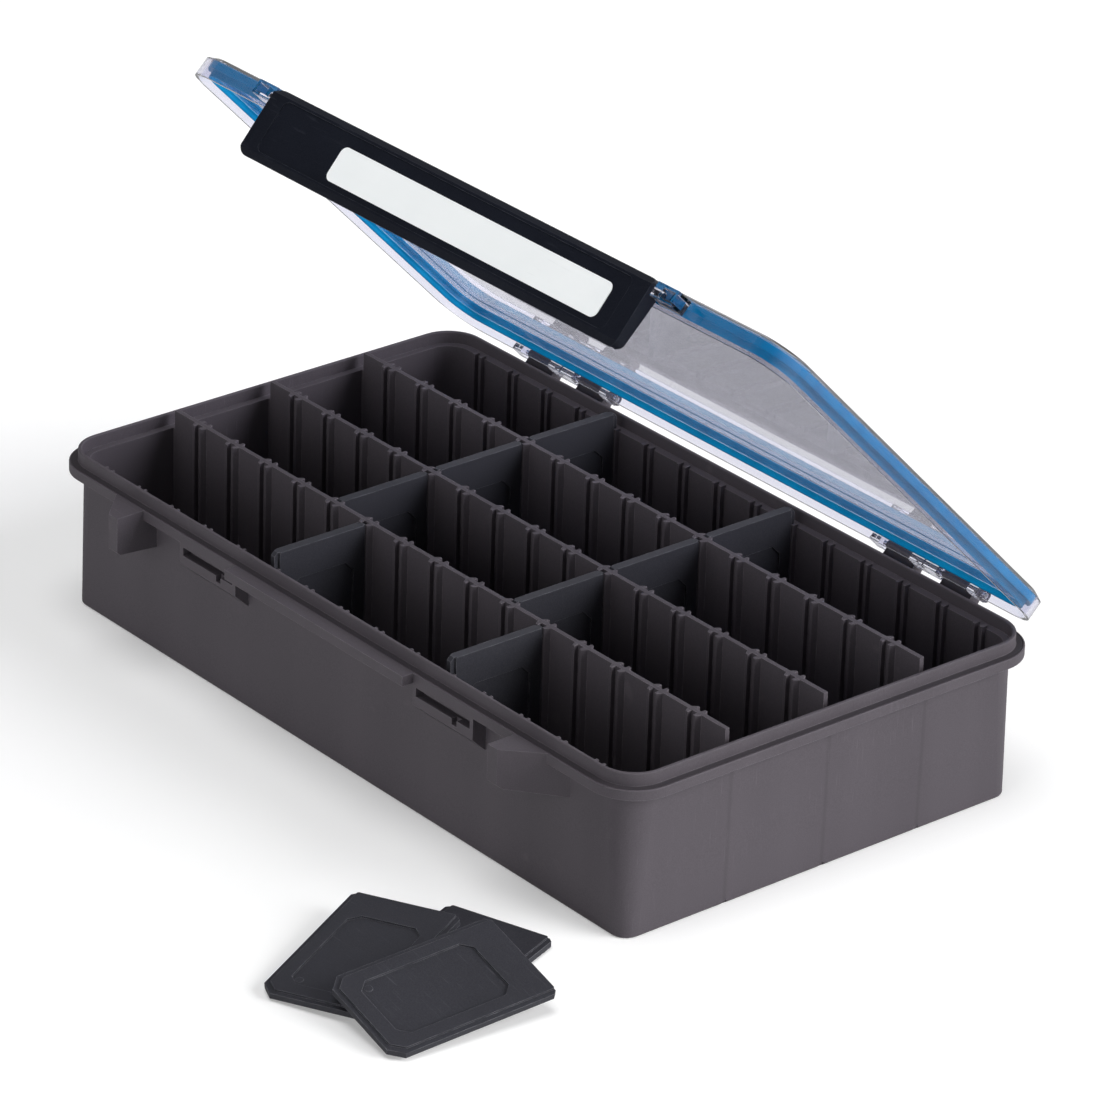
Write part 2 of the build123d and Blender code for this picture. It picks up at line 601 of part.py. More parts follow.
def latch():
    wall, trunnion = latch_end_wall()
    silhouette = Plane(origin=(0, 0, LATCH_TOP - LATCH_HEIGHT / 2), x_dir=(1, 0, 0), z_dir=(0, -1, 0))
    outline = silhouette * RectangleRounded(LATCH_LENGTH, LATCH_HEIGHT, LATCH_CORNER)
    envelope = extrude(outline, amount=2 * LATCH_FRONT)
    shape = (latch_plate() + both_sides(wall)) & envelope
    shape += both_sides(trunnion)
    hook_back = -FLANGE_Y - HOOK_GAP
    hook_front = -LATCH_FRONT + LATCH_SLOPE
    shape += both_sides(block((HOOK_INNER, hook_front, HOOK_LOW), (HOOK_OUTER, hook_back, HOOK_HIGH)))
    outer = latch_outer_profile()
    field_height = outer[1][1] - outer[2][1] - 2 * FIELD_TOP_INSET
    field_middle = (outer[1][1] + outer[2][1]) / 2 - LABEL_CENTRE_Z
    blank = RectangleRounded(2 * FIELD_HALF, field_height, FIELD_CORNER)
    field = Pos(0, field_middle, -FIELD_DEPTH) * blank
    return opened(shape - extrude(latch_face() * field, amount=FIELD_DEPTH))


def latch_label():
    blank = RectangleRounded(LABEL_LENGTH, LABEL_HEIGHT, LABEL_CORNER)
    outline = Pos(LABEL_CENTRE_X, 0, -FIELD_DEPTH) * blank
    return opened(extrude(latch_face() * outline, amount=LABEL_THICKNESS))


def hinge_pin(side):
    low, high = pin_span()
    pin = rod(PIN_RADIUS, HINGE_Y, HINGE_HEIGHT, low + PIN_END_RECESS, high - PIN_END_RECESS)
    return pin if side > 0 else mirror(pin, about=Plane.YZ)


def write(name, shape):
    shape.label = name
    export_step(shape, f"parts/{name}.step")


def main():
    write("tub", tub())
    for lane_line, name in enumerate(("front", "middle", "rear"), start=1):
        write(f"partition_{name}", partition(lane_line))
    for lane in range(1, LANES + 1):
        stations = FRONT_LANE_STATIONS if lane == 1 else OTHER_LANE_STATIONS
        for station, side in zip(stations, ("left", "right")):
            write(f"divider_lane{lane}_{side}", lane_divider(lane, station))
    write("spare_divider_lower", spare_divider(LOWER_SPARE, LOWER_SPARE_TURN, 0, 0))
    tilts = (LEANING_SPARE_ROLL, LEANING_SPARE_PITCH)
    write("spare_divider_leaning", spare_divider(LEANING_SPARE, LEANING_SPARE_TURN, *tilts))
    upper = spare_divider(UPPER_SPARE, UPPER_SPARE_TURN, UPPER_SPARE_ROLL, UPPER_SPARE_PITCH)
    write("spare_divider_upper", upper)
    write("lid", lid())
    write("lid_seal", lid_seal())
    write("latch", latch())
    write("latch_label", latch_label())
    write("hinge_pin_left", hinge_pin(-1))
    write("hinge_pin_right", hinge_pin(1))


main()
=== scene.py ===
import math

import bmesh
import bpy
from mathutils import Matrix, Vector


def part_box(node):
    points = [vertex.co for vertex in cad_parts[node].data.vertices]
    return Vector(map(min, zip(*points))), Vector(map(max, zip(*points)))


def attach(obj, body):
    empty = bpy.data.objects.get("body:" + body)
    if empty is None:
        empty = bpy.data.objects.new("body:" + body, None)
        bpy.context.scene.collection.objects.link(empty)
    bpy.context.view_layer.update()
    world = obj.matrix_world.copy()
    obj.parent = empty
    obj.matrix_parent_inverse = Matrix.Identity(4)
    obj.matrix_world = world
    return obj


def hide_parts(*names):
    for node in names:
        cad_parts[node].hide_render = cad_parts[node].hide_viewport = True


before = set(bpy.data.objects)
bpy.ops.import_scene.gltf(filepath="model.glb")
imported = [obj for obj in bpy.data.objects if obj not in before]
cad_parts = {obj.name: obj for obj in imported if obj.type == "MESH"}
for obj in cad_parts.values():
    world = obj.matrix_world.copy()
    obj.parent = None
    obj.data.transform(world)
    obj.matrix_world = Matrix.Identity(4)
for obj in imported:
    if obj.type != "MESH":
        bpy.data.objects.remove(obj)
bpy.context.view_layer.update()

MM = 0.001
WHITE = (1, 1, 1, 1)

# Camera, solved from the photograph's own perspective
PHOTO_PIXELS = 1100
FOCAL_PIXELS = 6116.5
SENSOR_WIDTH = 36.0
CAMERA_AZIMUTH = math.radians(49.81)
CAMERA_ELEVATION = math.radians(26.184)
CAMERA_ROLL = math.radians(1.904)
CAMERA_DISTANCE = 2235.72 * MM
CAMERA_TARGET = Vector((98.602, -75.612, 124.356)) * MM
CAMERA_REACH = 50

# Lamps: strength, width as an angle, and the side each one shines from
SOFTBOXES = {
    "side_softbox": (4.05, math.radians(45), Vector((1.0, 0.65, 0.45))),
    "front_softbox": (1.2, math.radians(50), Vector((0.0, -1.0, 0.25))),
    "top_softbox": (1.45, math.radians(38), Vector((0.0, -0.1, 1.0))),
}

# Room light: strength at the horizon and overhead, and the rise over which it changes
ROOM_COLOUR = (0.97, 0.98, 1.0, 1)
ROOM_LOW = 0.52
ROOM_TOP = 0.04
ROOM_RISE = (0.0, 0.5)

# The white room as gloss sees it, darker away from one side, and as clear plastic sees it,
# darker overhead
GLOSS_BRIGHT_WAY = (0.65, 0.45, -0.62)
GLOSS_SPAN = (-0.5, 0.5)
GLOSS_DARK = 0.08
GLASS_SPAN = (0.5, 0.8)
GLASS_DARK = 0.12

# Floor: its paint for light, for gloss and for the eye, and the glow added for the eye
FLOOR_PAINT = 0.9
FLOOR_GLOSS = 0.45
FLOOR_SEEN = 0.8
FLOOR_LIFT = 0.25
FLOOR_SIZE = 9.0
FLOOR_GAP = 0.02 * MM
FLOOR_TONES = ((0.99, 0.99, 0.995, 1), WHITE)
FLOOR_ROUGHNESS = (0.8, 0.95)
FLOOR_SPECULAR = 0.1
FLOOR_PATCH_SCALE = 6.0


def feed(tree, node, sockets):
    """Links or sets a node's input sockets, given by name or index."""
    for name, value in sockets.items():
        socket = node.inputs[name]
        if isinstance(value, bpy.types.NodeSocket):
            tree.links.new(value, socket)
        else:
            socket.default_value = value


def place(tree, kind, sockets=None, **settings):
    """A new node with its settings made and its input sockets fed."""
    node = tree.nodes.new(kind)
    for name, value in settings.items():
        setattr(node, name, value)
    feed(tree, node, sockets or {})
    return node


def calculate(tree, operation, *values, clamp=False):
    sockets = dict(enumerate(values))
    return place(tree, "ShaderNodeMath", sockets, operation=operation, use_clamp=clamp).outputs[0]


def product(tree, value, *factors):
    for factor in factors:
        value = calculate(tree, "MULTIPLY", value, factor)
    return value


def vector_calculate(tree, operation, *vectors, result="Vector"):
    sockets = dict(enumerate(vectors))
    node = place(tree, "ShaderNodeVectorMath", sockets, operation=operation)
    return node.outputs[result]


def stretch(tree, value, low, high, new_low=0.0, new_high=1.0):
    sockets = {
        "Value": value,
        "From Min": low,
        "From Max": high,
        "To Min": new_low,
        "To Max": new_high,
    }
    return place(tree, "ShaderNodeMapRange", sockets).outputs["Result"]


def blend_colours(tree, share, first, second):
    sockets = {0: share, 6: first, 7: second}
    return place(tree, "ShaderNodeMix", sockets, data_type="RGBA").outputs[2]


def noise(tree, vector, scale, detail=2.0, roughness=0.5):
    sockets = {"Vector": vector, "Scale": scale, "Detail": detail, "Roughness": roughness}
    return place(tree, "ShaderNodeTexNoise", sockets).outputs["Fac"]


def rounded_normal(tree, radius):
    return place(tree, "ShaderNodeBevel", {"Radius": radius}, samples=4).outputs[0]


def shared_group(name, inputs, outputs):
    tree = bpy.data.node_groups.new(name, "ShaderNodeTree")
    for label, kind, value in inputs:
        socket = tree.interface.new_socket(label, in_out="INPUT", socket_type=kind)
        if value is not None:
            socket.default_value = value
    for label, kind in outputs:
        tree.interface.new_socket(label, in_out="OUTPUT", socket_type=kind)
    start = tree.nodes.new("NodeGroupInput")
    end = tree.nodes.new("NodeGroupOutput")
    return tree, start, end


FLOAT, VECTOR, COUNT = "NodeSocketFloat", "NodeSocketVector", "NodeSocketInt"

# Parts of a noise's range that are stretched to a full mask
NOISE_SPAN = (0.3, 0.7)
BAND_SPAN = (0.35, 0.65)
BAND_SQUEEZE = (1, 1, 0.04)

# Edges painted lighter, as wear and as highlight: how far the rounded normal has to turn, and how
# patchy the polish is
WEAR_AND_HIGHLIGHT_RADIUS = 0.35 * MM
WEAR_AND_HIGHLIGHT_TURN = (0.995, 0.8)
WEAR_AND_HIGHLIGHT_SPAN = (0.38, 0.6)
WEAR_AND_HIGHLIGHT_LEAST = 0.25

# Scuffs: turn and squeeze of each direction, and the parts of the noise that show
SCUFF_WAYS = ((0.5, 22.0), (-0.9, 28.0))
SCUFF_TILT = 0.4
SCUFF_SPAN = (0.66, 0.74)
SCUFF_PATCH_SCALE = 14.0
SCUFF_PATCH_SPAN = (0.5, 0.68)


def moulded_grain():
    """Fine spark-eroded texture of a mould face, with broad uneven patches."""
    tree, start, end = shared_group(
        "moulded_grain",
        [("Vector", VECTOR, None), ("Grain Scale", FLOAT, 2500.0), ("Patch Scale", FLOAT, 25.0)],
        [("Grain", FLOAT), ("Patches", FLOAT)],
    )
    vector = start.outputs["Vector"]
    fine = noise(tree, vector, start.outputs["Grain Scale"], detail=3.0, roughness=0.6)
    broad = noise(tree, vector, start.outputs["Patch Scale"], detail=3.0, roughness=0.55)
    grain = stretch(tree, fine, *NOISE_SPAN)
    feed(tree, end, {"Grain": grain, "Patches": stretch(tree, broad, *NOISE_SPAN)})
    return tree


def flow_bands():
    """Upright tonal bands that melt flow leaves on a tall moulded wall."""
    tree, start, end = shared_group(
        "flow_bands", [("Vector", VECTOR, None), ("Band Scale", FLOAT, 40.0)], [("Bands", FLOAT)]
    )
    sockets = {"Vector": start.outputs["Vector"], "Scale": BAND_SQUEEZE}
    flat = place(tree, "ShaderNodeMapping", sockets).outputs[0]
    bands = noise(tree, flat, start.outputs["Band Scale"])
    feed(tree, end, {"Bands": stretch(tree, bands, *BAND_SPAN)})
    return tree


def worn_and_highlit_edges():
    """A mask of the edges that rubbing has polished and that are painted lighter as highlight,
    found where rounding turns the normal.
    """
    tree, start, end = shared_group(
        "worn_and_highlit_edges",
        [("Vector", VECTOR, None), ("Wear And Highlight Scale", FLOAT, 180.0), ("Reach", FLOAT, 0.9)],
        [("Wear And Highlight", FLOAT)],
    )
    plain = place(tree, "ShaderNodeNewGeometry").outputs["Normal"]
    rounded = rounded_normal(tree, WEAR_AND_HIGHLIGHT_RADIUS)
    agreement = vector_calculate(tree, "DOT_PRODUCT", plain, rounded, result="Value")
    turned = stretch(tree, agreement, *WEAR_AND_HIGHLIGHT_TURN)
    vector, scale = start.outputs["Vector"], start.outputs["Wear And Highlight Scale"]
    broken = noise(tree, vector, scale, detail=4.0, roughness=0.65)
    patchy = stretch(tree, broken, *WEAR_AND_HIGHLIGHT_SPAN, WEAR_AND_HIGHLIGHT_LEAST, 1.0)
    # Edge mask for wear and for a painted highlight
    worn_and_highlit = calculate(tree, "MULTIPLY", turned, patchy)
    edge = calculate(tree, "MULTIPLY", worn_and_highlit, start.outputs["Reach"], clamp=True)
    feed(tree, end, {"Wear And Highlight": edge})
    return tree


def fine_scuffs():
    """Short thin rub marks in two directions, gathered in patches."""
    tree, start, end = shared_group(
        "fine_scuffs",
        [("Vector", VECTOR, None), ("Scuff Scale", FLOAT, 60.0), ("Amount", FLOAT, 0.5)],
        [("Scuffs", FLOAT)],
    )
    vector = start.outputs["Vector"]
    marks = []
    for turn, squeeze in SCUFF_WAYS:
        rotation = (turn, SCUFF_TILT * turn, turn)
        sockets = {"Vector": vector, "Rotation": rotation, "Scale": (1, squeeze, 1)}
        laid = place(tree, "ShaderNodeMapping", sockets).outputs[0]
        line = noise(tree, laid, start.outputs["Scuff Scale"])
        marks.append(stretch(tree, line, *SCUFF_SPAN))
    gathered = stretch(tree, noise(tree, vector, SCUFF_PATCH_SCALE), *SCUFF_PATCH_SPAN)
    both = calculate(tree, "MAXIMUM", *marks)
    amount = calculate(tree, "MULTIPLY", gathered, start.outputs["Amount"])
    feed(tree, end, {"Scuffs": calculate(tree, "MULTIPLY", both, amount, clamp=True)})
    return tree


# The flange's gutter, only painted shade and a bump: the lip's foot as half length, half width
# and corner, and how far out from it and how far below its height the gutter starts and fades
LIP_FOOT = (175.0 * MM, 100.0 * MM, 15.3 * MM)
LIP_FOOT_HEIGHT = 64.1 * MM
GUTTER_START = (0.05 * MM, 0.3 * MM)
GUTTER_WIDTH = 2.6 * MM
GUTTER_FADE = 0.3 * MM
GUTTER_DROPS = (0.6 * MM, 0.3 * MM)
GUTTER_SHADE = 0.45
GUTTER_DIP = -0.35 * MM

# Painted shade for sink lines on the end walls, below the flange, one for each partition
PARTITION_PITCH = 47.95 * MM
SINK_LINE = (0.3 * MM, 1.3 * MM)
END_WALL_FACE = 171.3 * MM
END_WALL_FADE = 0.2 * MM
FLANGE_UNDERSIDE = 60.0 * MM
FLANGE_FADE = 0.5 * MM
SINK_SHADE = 0.14
RIM_SHADE = (0.004, 0.0035, 0.004, 1)


def rim_painted_shade_and_dip():
    """Masks for the shallow gutter outside the lip, drawn as painted shade and a dip, and for the
    sink lines where partitions meet end walls, drawn as painted shade.
    """
    tree, start, end = shared_group(
        "rim_painted_shade_and_dip", [("Vector", VECTOR, None)], [("Painted Gutter Shade And Dip", FLOAT), ("Painted Sink Shade", FLOAT)]
    )
    vector = start.outputs["Vector"]
    length, width, corner = LIP_FOOT
    apart = vector_calculate(tree, "ABSOLUTE", vector)
    past = vector_calculate(tree, "SUBTRACT", apart, (length - corner, width - corner, 1.0))
    past = vector_calculate(tree, "MAXIMUM", past, (0, 0, 0))
    reach = vector_calculate(tree, "LENGTH", past, result="Value")
    outside = calculate(tree, "SUBTRACT", reach, corner)
    inner = stretch(tree, outside, *GUTTER_START)
    outer = stretch(tree, outside, GUTTER_WIDTH, GUTTER_WIDTH + GUTTER_FADE, 1.0, 0.0)
    split = place(tree, "ShaderNodeSeparateXYZ", {0: vector}).outputs
    on_top = stretch(tree, split["Z"], *(LIP_FOOT_HEIGHT - drop for drop in GUTTER_DROPS))
    from_line = calculate(tree, "PINGPONG", split["Y"], PARTITION_PITCH / 2)
    line = stretch(tree, from_line, *SINK_LINE, 1.0, 0.0)
    x = calculate(tree, "ABSOLUTE", split["X"])
    on_wall = stretch(tree, x, END_WALL_FACE, END_WALL_FACE + END_WALL_FADE)
    fade_from = FLANGE_UNDERSIDE - FLANGE_FADE
    below = stretch(tree, split["Z"], fade_from, FLANGE_UNDERSIDE, 1.0, 0.0)
    gutter = product(tree, inner, outer, on_top)
    feed(tree, end, {"Painted Gutter Shade And Dip": gutter, "Painted Sink Shade": product(tree, line, on_wall, below)})
    return tree


GRAIN = moulded_grain()
BANDS = flow_bands()
EDGES = worn_and_highlit_edges()
SCUFFS = fine_scuffs()
RIM = rim_painted_shade_and_dip()


def effect(tree, group, **sockets):
    """A shared group's outputs, its inputs given by name with _ for a space."""
    named = {name.replace("_", " "): value for name, value in sockets.items()}
    return place(tree, "ShaderNodeGroup", named, node_tree=group).outputs


def new_material(name):
    material = bpy.data.materials.new(name)
    material.use_nodes = True
    tree = material.node_tree
    tree.nodes.clear()
    output = place(tree, "ShaderNodeOutputMaterial")
    shader = place(tree, "ShaderNodeBsdfPrincipled")
    tree.links.new(shader.outputs[0], output.inputs["Surface"])
    coordinates = place(tree, "ShaderNodeTexCoord").outputs["Object"]
    return material, tree, shader, coordinates


def resurface(tree, shader):
    """Puts another shader on the material's output."""
    output = next(node for node in tree.nodes if node.type == "OUTPUT_MATERIAL")
    feed(tree, output, {"Surface": shader.outputs[0]})


def add_bump(tree, shader, height, strength, distance, normal=None):
    """Bumps a shader's normal, over another normal where one is given."""
    sockets = {"Height": height, "Strength": strength, "Distance": distance}
    if normal is not None:
        sockets["Normal"] = normal
    feed(tree, shader, {"Normal": place(tree, "ShaderNodeBump", sockets).outputs[0]})


# Opaque plastics: dark, light and worn tones; the worn tone is also painted on edges as highlight
TUB_TONES = ((0.0605, 0.053, 0.062, 1), (0.0695, 0.061, 0.071, 1), (0.24, 0.22, 0.245, 1))
DIVIDER_TONES = ((0.0205, 0.0205, 0.0255, 1), (0.0255, 0.0255, 0.032, 1), (0.19, 0.19, 0.21, 1))
LATCH_TONES = ((0.004, 0.005, 0.009, 1), (0.006, 0.0075, 0.013, 1), (0.07, 0.075, 0.095, 1))
SPECK_SHARE = 0.12
SCUFF_SHARE = 0.35
ROUGHNESS_SPREAD = 0.05
POLISH = -0.14
GRAIN_STRENGTH = 0.35
SOFT_EDGE = 0.12 * MM

# Clear plastic: tones, roughness where it was handled and where it is scuffed
CLEAR_TONES = ((0.75, 0.75, 0.85, 1), (0.8, 0.8, 0.89, 1))
CLEAR_FILM = (0.9, 0.9, 0.93, 1)
CLEAR_IOR = 1.5
CLEAR_HANDLED_SPAN = (0.2, 1.0)
CLEAR_ROUGHNESS = (0.01, 0.03)
CLEAR_SCUFFED = 0.08
CLEAR_EDGE = 0.3 * MM

# Seal: dark, light and bloomed tones; the bloomed tone is painted on the edges as bloom and as
# highlight
SEAL_TONES = ((0.002, 0.16, 0.35, 1), (0.003, 0.235, 0.475, 1), (0.06, 0.4, 0.62, 1))
SEAL_ROUGHNESS = (0.34, 0.5)
SEAL_SPECULAR = 0.1

# Label: dark, light and marked tones
LABEL_TONES = ((0.91, 0.94, 0.945, 1), (0.94, 0.965, 0.97, 1), (0.6, 0.62, 0.65, 1))
LABEL_ROUGHNESS = (0.38, 0.5)
LABEL_MARK_SHARE = 0.3

# Drawn steel
STEEL_TONES = ((0.42, 0.42, 0.44, 1), (0.68, 0.68, 0.7, 1))
STEEL_ROUGHNESS = (0.22, 0.4)
DRAWN_SQUEEZE = (1, 60, 60)
DRAWN_SCALE = 60.0


def add_rim(tree, where, colour, shader):
    """Paints shade into the gutter and along the sink lines, and dips the surface in the gutter.
    """
    rim = effect(tree, RIM, Vector=where)
    # Painted shade: the gutter and the sink lines are blended toward a near-black tone
    shade = calculate(tree, "MULTIPLY", rim["Painted Gutter Shade And Dip"], GUTTER_SHADE)
    shade = calculate(tree, "MULTIPLY_ADD", rim["Painted Sink Shade"], SINK_SHADE, shade)
    feed(tree, shader, {"Base Color": blend_colours(tree, shade, colour, RIM_SHADE)})
    bump = shader.inputs["Normal"].links[0].from_node
    under = bump.inputs["Normal"].links[0].from_socket
    add_bump(tree, bump, rim["Painted Gutter Shade And Dip"], 1.0, GUTTER_DIP, under)


def moulded_plastic(
    name, tones, roughness, grain_depth, bands=0.0, edge_reach=0.8, specular=0.25, rim=False
):
    """Opaque moulded plastic: two tones in patches and bands, polished edges painted lighter as
    wear and highlight, fine grain, and with rim, painted shade in the gutter and sink lines.
    """
    dark, light, worn_and_highlit = tones
    material, tree, shader, where = new_material(name)
    grain = effect(tree, GRAIN, Vector=where)
    flow = effect(tree, BANDS, Vector=where)
    edge = effect(tree, EDGES, Vector=where, Reach=edge_reach)
    scuff = effect(tree, SCUFFS, Vector=where)
    share = calculate(tree, "MULTIPLY", flow["Bands"], bands)
    share = calculate(tree, "MULTIPLY_ADD", grain["Patches"], 1 - bands, share)
    body = blend_colours(tree, share, dark, light)
    specks = calculate(tree, "MULTIPLY", grain["Grain"], SPECK_SHARE)
    speckled = blend_colours(tree, specks, body, worn_and_highlit)
    scuffed = calculate(tree, "MULTIPLY", scuff["Scuffs"], SCUFF_SHARE)
    marked = calculate(tree, "MAXIMUM", edge["Wear And Highlight"], scuffed)
    # Edges and scuffs lightened toward the worn tone: wear, and on the edges also a painted
    # highlight
    colour = blend_colours(tree, marked, speckled, worn_and_highlit)
    smooth, coarse = roughness - ROUGHNESS_SPREAD, roughness + ROUGHNESS_SPREAD
    rough = stretch(tree, grain["Patches"], 0.0, 1.0, smooth, coarse)
    rough = calculate(tree, "MULTIPLY_ADD", marked, POLISH, rough)
    sockets = {"Base Color": colour, "Roughness": rough, "Specular IOR Level": specular}
    feed(tree, shader, sockets)
    rounded = rounded_normal(tree, SOFT_EDGE)
    add_bump(tree, shader, grain["Grain"], GRAIN_STRENGTH, grain_depth, rounded)
    if rim:
        add_rim(tree, where, colour, shader)
    return material


def clear_plastic(name):
    """Polished clear plastic with a lilac cast that lets the lamps through to what is under it."""
    material, tree, shader, where = new_material(name)
    grain = effect(tree, GRAIN, Vector=where, Grain_Scale=900.0, Patch_Scale=9.0)
    scuff = effect(tree, SCUFFS, Vector=where, Scuff_Scale=45.0, Amount=0.7)
    handled = stretch(tree, grain["Patches"], *CLEAR_HANDLED_SPAN, *CLEAR_ROUGHNESS)
    sockets = {
        "Base Color": blend_colours(tree, grain["Patches"], *CLEAR_TONES),
        "Roughness": calculate(tree, "MULTIPLY_ADD", scuff["Scuffs"], CLEAR_SCUFFED, handled),
        "Transmission Weight": 1.0,
        "IOR": CLEAR_IOR,
    }
    feed(tree, shader, sockets)
    rounded = rounded_normal(tree, CLEAR_EDGE)
    add_bump(tree, shader, grain["Patches"], 0.1, 0.05 * MM, rounded)
    path = place(tree, "ShaderNodeLightPath").outputs
    through = calculate(tree, "MAXIMUM", path["Is Shadow Ray"], path["Is Diffuse Ray"])
    film = place(tree, "ShaderNodeBsdfTransparent", {"Color": CLEAR_FILM})
    sockets = {0: through, 1: shader.outputs[0], 2: film.outputs[0]}
    resurface(tree, place(tree, "ShaderNodeMixShader", sockets))
    return material


def seal_rubber(name):
    """Satin blue rubber with a faint bloom and mould dust, its edges painted lighter as bloom and
    as highlight.
    """
    dark, light, bloomed_and_highlit = SEAL_TONES
    material, tree, shader, where = new_material(name)
    grain = effect(tree, GRAIN, Vector=where, Grain_Scale=1800.0, Patch_Scale=60.0)
    edge = effect(tree, EDGES, Vector=where, Reach=0.5)
    body = blend_colours(tree, grain["Patches"], dark, light)
    sockets = {
        # Edges lightened toward the bloomed tone: bloom, and a painted highlight
        "Base Color": blend_colours(tree, edge["Wear And Highlight"], body, bloomed_and_highlit),
        "Roughness": stretch(tree, grain["Grain"], 0.0, 1.0, *SEAL_ROUGHNESS),
        "Specular IOR Level": SEAL_SPECULAR,
    }
    feed(tree, shader, sockets)
    add_bump(tree, shader, grain["Grain"], 0.3, 0.03 * MM)
    return material


def label_card(name):
    """Blank satin card with faint fibre and a few handling marks."""
    dark, light, marked = LABEL_TONES
    material, tree, shader, where = new_material(name)
    grain = effect(tree, GRAIN, Vector=where, Grain_Scale=3200.0, Patch_Scale=35.0)
    scuff = effect(tree, SCUFFS, Vector=where, Scuff_Scale=90.0, Amount=0.5)
    body = blend_colours(tree, grain["Patches"], dark, light)
    marks = calculate(tree, "MULTIPLY", scuff["Scuffs"], LABEL_MARK_SHARE)
    sockets = {
        "Base Color": blend_colours(tree, marks, body, marked),
        "Roughness": stretch(tree, grain["Grain"], 0.0, 1.0, *LABEL_ROUGHNESS),
    }
    feed(tree, shader, sockets)
    add_bump(tree, shader, grain["Grain"], 0.15, 0.02 * MM)
    return material


def drawn_wire(name):
    """Bright drawn steel with lengthwise marks."""
    material, tree, shader, where = new_material(name)
    squeezed = place(tree, "ShaderNodeMapping", {"Vector": where, "Scale": DRAWN_SQUEEZE})
    lines = noise(tree, squeezed.outputs[0], DRAWN_SCALE, detail=3.0)
    sockets = {
        "Base Color": blend_colours(tree, lines, *STEEL_TONES),
        "Roughness": stretch(tree, lines, *NOISE_SPAN, *STEEL_ROUGHNESS),
        "Metallic": 1.0,
    }
    feed(tree, shader, sockets)
    return material


def dress_nodes():
    """Gives every CAD node its finish, and fits the pieces that replace four of them."""
    tub = moulded_plastic(
        "tub_plastic", TUB_TONES, 0.5, 0.02 * MM, bands=0.6, edge_reach=0.7, rim=True
    )
    dividers = moulded_plastic("divider_plastic", DIVIDER_TONES, 0.46, 0.015 * MM, edge_reach=1.0)
    latch = moulded_plastic("latch_plastic", LATCH_TONES, 0.4, 0.03 * MM, specular=0.12)
    finishes = {
        "lid": clear_plastic("lid_clear"),
        "lid_seal": seal_rubber("seal_rubber"),
        "latch": latch,
        "latch_label": label_card("label_card"),
    }
    steel = drawn_wire("pin_steel")
    for name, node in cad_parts.items():
        finish = finishes.get(name)
        if name.startswith(("tub", "partition")):
            finish = tub
        elif "divider" in name:
            finish = dividers
        elif name.startswith("hinge_pin"):
            finish = steel
        node.data.materials.clear()
        node.data.materials.append(finish)
    fit_seal(finishes["lid_seal"])
    fit_partitions(tub)


def add_object(name, data):
    thing = bpy.data.objects.new(name, data)
    bpy.context.scene.collection.objects.link(thing)
    return thing


def sized_tree(name, sizes):
    """A Geometry Nodes tree with geometry in and out and named sizes."""
    tree = bpy.data.node_groups.new(name, "GeometryNodeTree")
    tree.interface.new_socket("Geometry", in_out="INPUT", socket_type="NodeSocketGeometry")
    tree.interface.new_socket("Geometry", in_out="OUTPUT", socket_type="NodeSocketGeometry")
    for label, kind, value in sizes:
        tree.interface.new_socket(label, in_out="INPUT", socket_type=kind).default_value = value
    return tree, tree.nodes.new("NodeGroupInput"), tree.nodes.new("NodeGroupOutput")


def grow(name, base, tree, sizes, turn):
    """Runs a tree on a base mesh and keeps the result as a plain mesh, turned into its place."""
    seed = add_object(name + "_seed", base)
    modifier = seed.modifiers.new(name, "NODES")
    modifier.node_group = tree
    for item in tree.interface.items_tree:
        if item.item_type == "SOCKET" and item.in_out == "INPUT" and item.name in sizes:
            modifier[item.identifier] = sizes[item.name]
    evaluated = seed.evaluated_get(bpy.context.evaluated_depsgraph_get())
    mesh = bpy.data.meshes.new_from_object(evaluated)
    bpy.data.objects.remove(seed)
    mesh.name = name
    mesh.transform(turn)
    return add_object(name, mesh)


def finish_tree(tree, end, geometry, material):
    """Ends a tree in plain mesh with its material on."""
    real = place(tree, "GeometryNodeRealizeInstances", {"Geometry": geometry}).outputs[0]
    sockets = {"Geometry": real, "Material": material}
    painted = place(tree, "GeometryNodeSetMaterial", sockets).outputs[0]
    tree.links.new(painted, end.inputs[0])


def outline_mesh(name, points):
    mesh = bpy.data.meshes.new(name)
    count = len(points)
    edges = [(i, (i + 1) % count) for i in range(count)]
    mesh.from_pydata([(x, y, 0) for x, y in points], edges, [])
    return mesh


# The seal's section when the lid is closed, in mm: how far out from the lid's inner ring,
# and height
SEAL_SECTION = (
    (0.10, 67.12), (0.70, 67.06), (0.84, 67.25), (0.84, 69.50), (1.10, 69.64), (1.60, 69.95),
    (2.30, 69.95), (2.80, 69.64), (3.30, 69.58), (3.42, 69.80), (3.42, 72.60), (3.25, 72.84),
    (0.25, 72.84), (0.03, 72.62), (0.03, 71.60), (0.32, 71.20), (0.32, 70.50), (0.03, 70.10),
    (0.03, 68.90), (0.22, 68.60), (0.03, 68.30), (0.03, 67.30),
)
# Length, width and corner of the ring's outline, in mm
SEAL_PATH = (343.8, 193.8, 12.2)
SEAL_CORNER_STEPS = 12
# The hinge's Y and height, in mm
HINGE_LINE = (109.0, 67.5)
LID_OPENED = math.radians(45.7)


